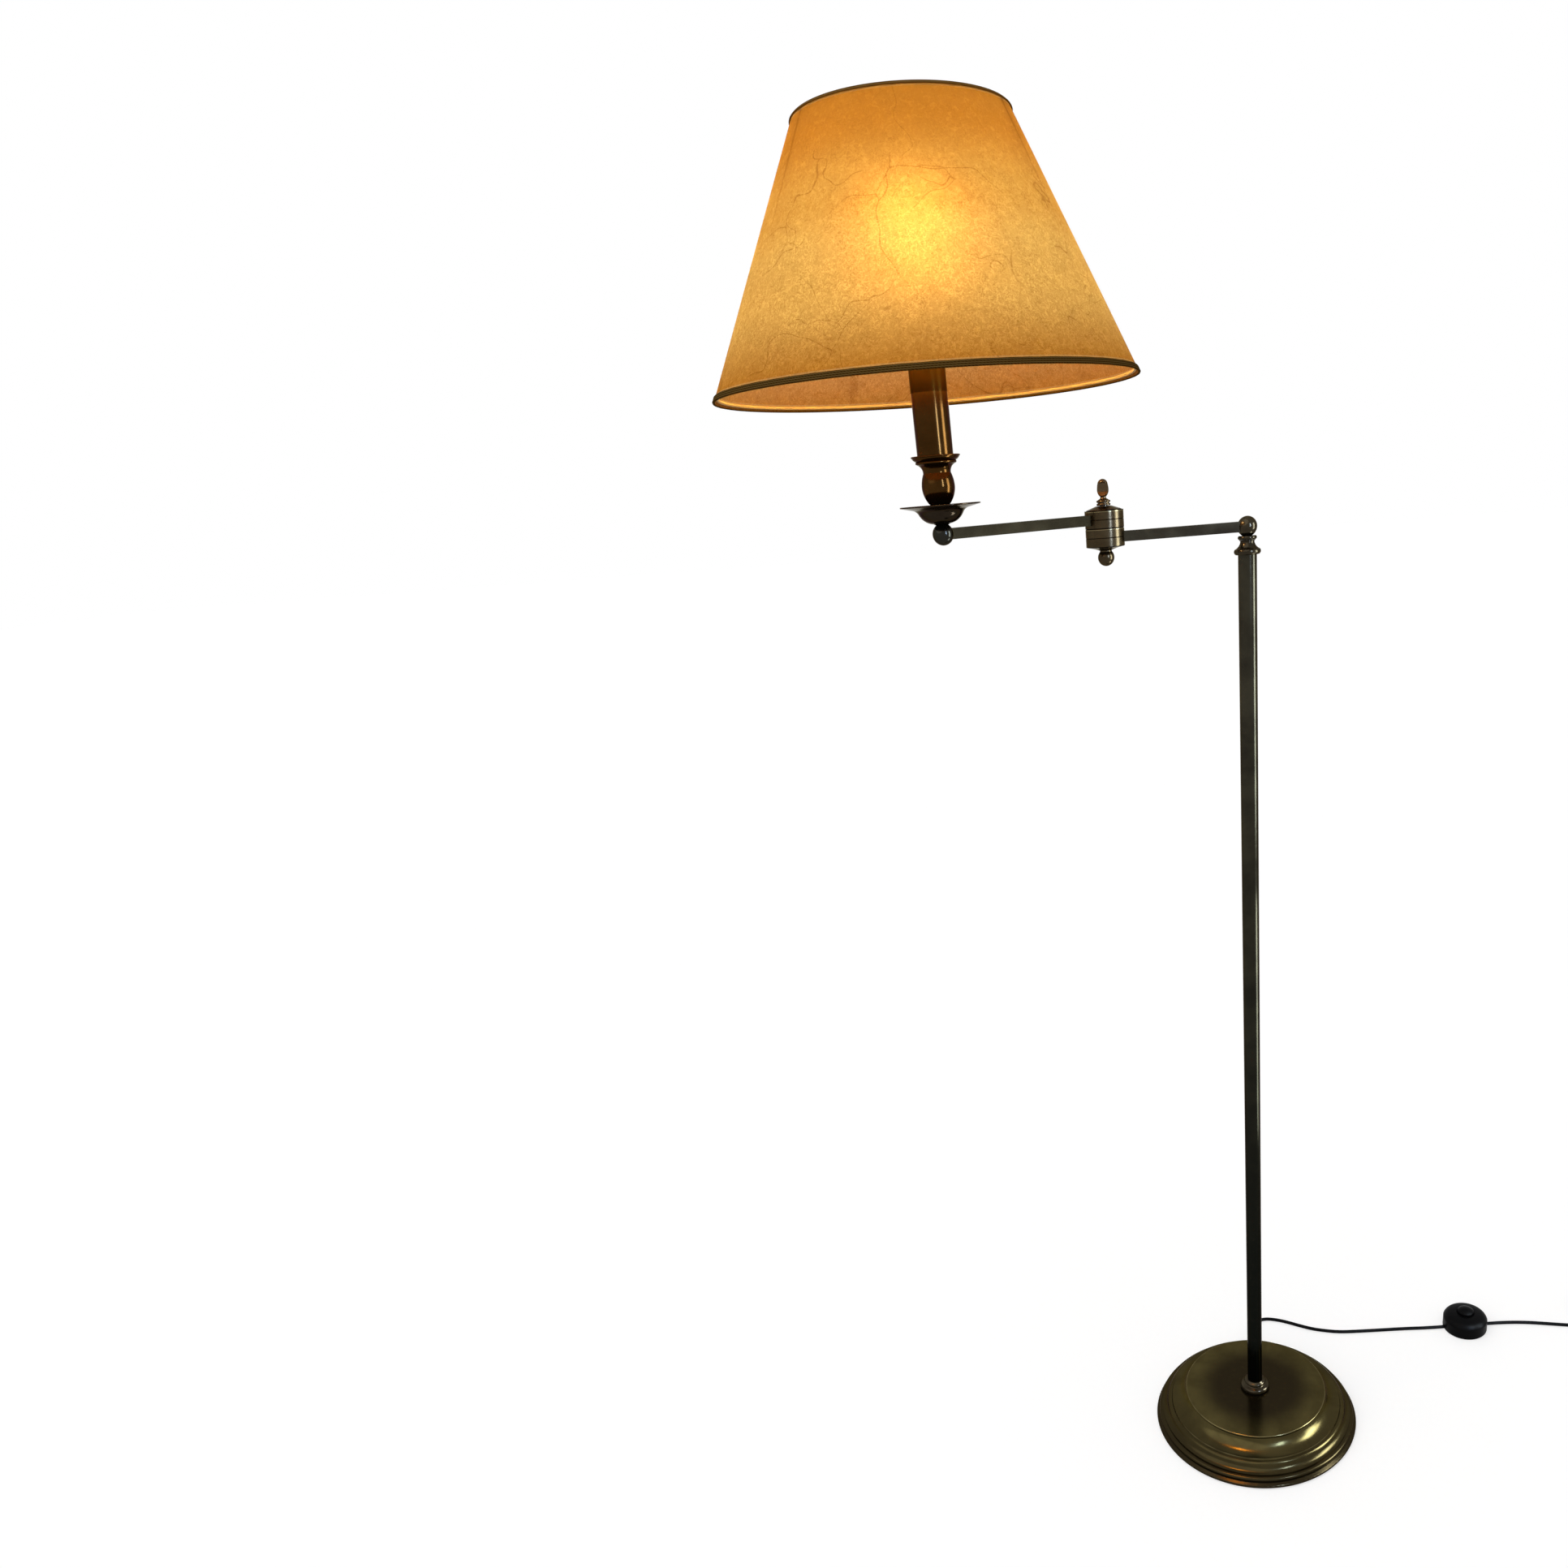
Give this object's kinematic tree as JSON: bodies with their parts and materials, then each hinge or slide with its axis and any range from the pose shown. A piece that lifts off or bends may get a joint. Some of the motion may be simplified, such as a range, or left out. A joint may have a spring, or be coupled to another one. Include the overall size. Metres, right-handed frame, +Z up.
{
  "type": "swing-arm floor lamp",
  "caption": "Floor reading lamp with a weighted round base, a slim stem, a swing arm jointed at stem and elbow, a candle-style holder and a paper cone shade; foot switch on the cord.",
  "frame": {"origin": "on the floor at the stem's axis, in the middle of the base pad's underside", "axes": "+Z up along the stem, -Y towards the viewer's side, -X the side the swing arm reaches to at rest"},
  "size_m": [1.1699, 0.6145, 1.5577],
  "materials": {
    "antique_brass": "antique patina, satin, worn bright on edges",
    "cast_iron": "rough cast",
    "steel": "zinc plated",
    "pad_rubber": "matte",
    "black_plastic": "satin",
    "black_cord": "satin",
    "ceramic_white": "unglazed",
    "fibre": "matte",
    "nickel": "nickel plated",
    "opal_glass": "opal, lit warm",
    "parchment": "translucent parchment, lit from inside",
    "trim_tape": "ribbed tape"
  },
  "bodies": {
    "stand": {"base_pad": "pad_rubber", "base_cover": "antique_brass", "base_weight": "cast_iron", "base_washer": "steel", "base_nut": "steel", "base_nipple": "steel", "base_collar": "antique_brass", "base_relief": "black_plastic", "stem_tube": "antique_brass", "stem_foot_plug": "steel", "stem_top_collar": "antique_brass", "swivel_stud": "steel", "cord_lamp_side": "black_cord", "switch_base": "black_plastic", "switch_cover": "black_plastic", "switch_block": "black_plastic", "switch_gland_in": "black_plastic", "switch_gland_out": "black_plastic", "cord_plug_side": "black_cord", "cord_coil": "black_cord", "cord_plug_lead": "black_cord", "plug_relief": "black_plastic", "plug_body": "black_plastic", "plug_pin_1": "nickel", "plug_pin_2": "nickel"},
    "arm_one": {"swivel_ring": "antique_brass", "stem_ball": "antique_brass", "arm_one_bar": "antique_brass", "lower_drum": "antique_brass", "lower_lid": "antique_brass", "ball_nut": "antique_brass", "elbow_bolt": "steel", "friction_washer": "fibre"},
    "shade_arm": {"upper_drum": "antique_brass", "upper_lid": "antique_brass", "arm_two_bar": "antique_brass", "holder_ball": "antique_brass", "holder_nipple": "steel", "drip_pan": "antique_brass", "candle_cup": "antique_brass", "candle_tube": "antique_brass", "lampholder_cap": "black_plastic", "lampholder_skirt": "black_plastic", "lampholder_contact": "ceramic_white", "shade_clamp_ring": "black_plastic", "bulb_cap": "nickel", "bulb_glass": "opal_glass", "carrier_ring": "steel", "carrier_arm_1": "steel", "carrier_arm_2": "steel", "carrier_arm_3": "steel", "shade_bottom_ring": "steel", "shade_top_ring": "steel", "shade_paper": "parchment", "shade_trim_bottom": "trim_tape", "shade_trim_top": "trim_tape"},
    "thumb_screw": {"thumb_screw": "antique_brass"},
    "switch_button": {"switch_button": "black_plastic"}
  },
  "joints": [
    {"name": "stem_swivel", "type": "hinge", "parent": "stand", "child": "arm_one", "pos_m": [0, 0, 1.195], "axis": [0, 0, 1], "range_deg": [-170, 170]},
    {"name": "elbow_swivel", "type": "hinge", "parent": "arm_one", "child": "shade_arm", "pos_m": [-0.14872, -0.01958, 1.204], "axis": [0, 0, 1], "range_deg": [-194, 136]},
    {"name": "thumb_screw_turn", "type": "hinge", "parent": "arm_one", "child": "thumb_screw", "pos_m": [-0.14872, -0.01958, 1.222], "axis": [0, 0, 1], "range_deg": [0, 360]},
    {"name": "switch_press", "type": "slide", "parent": "stand", "child": "switch_button", "axis": [0, 0, -1], "range_m": [0, 0.003], "stiffness_N_per_m": 400, "springref_m": -0.004}
  ]
}
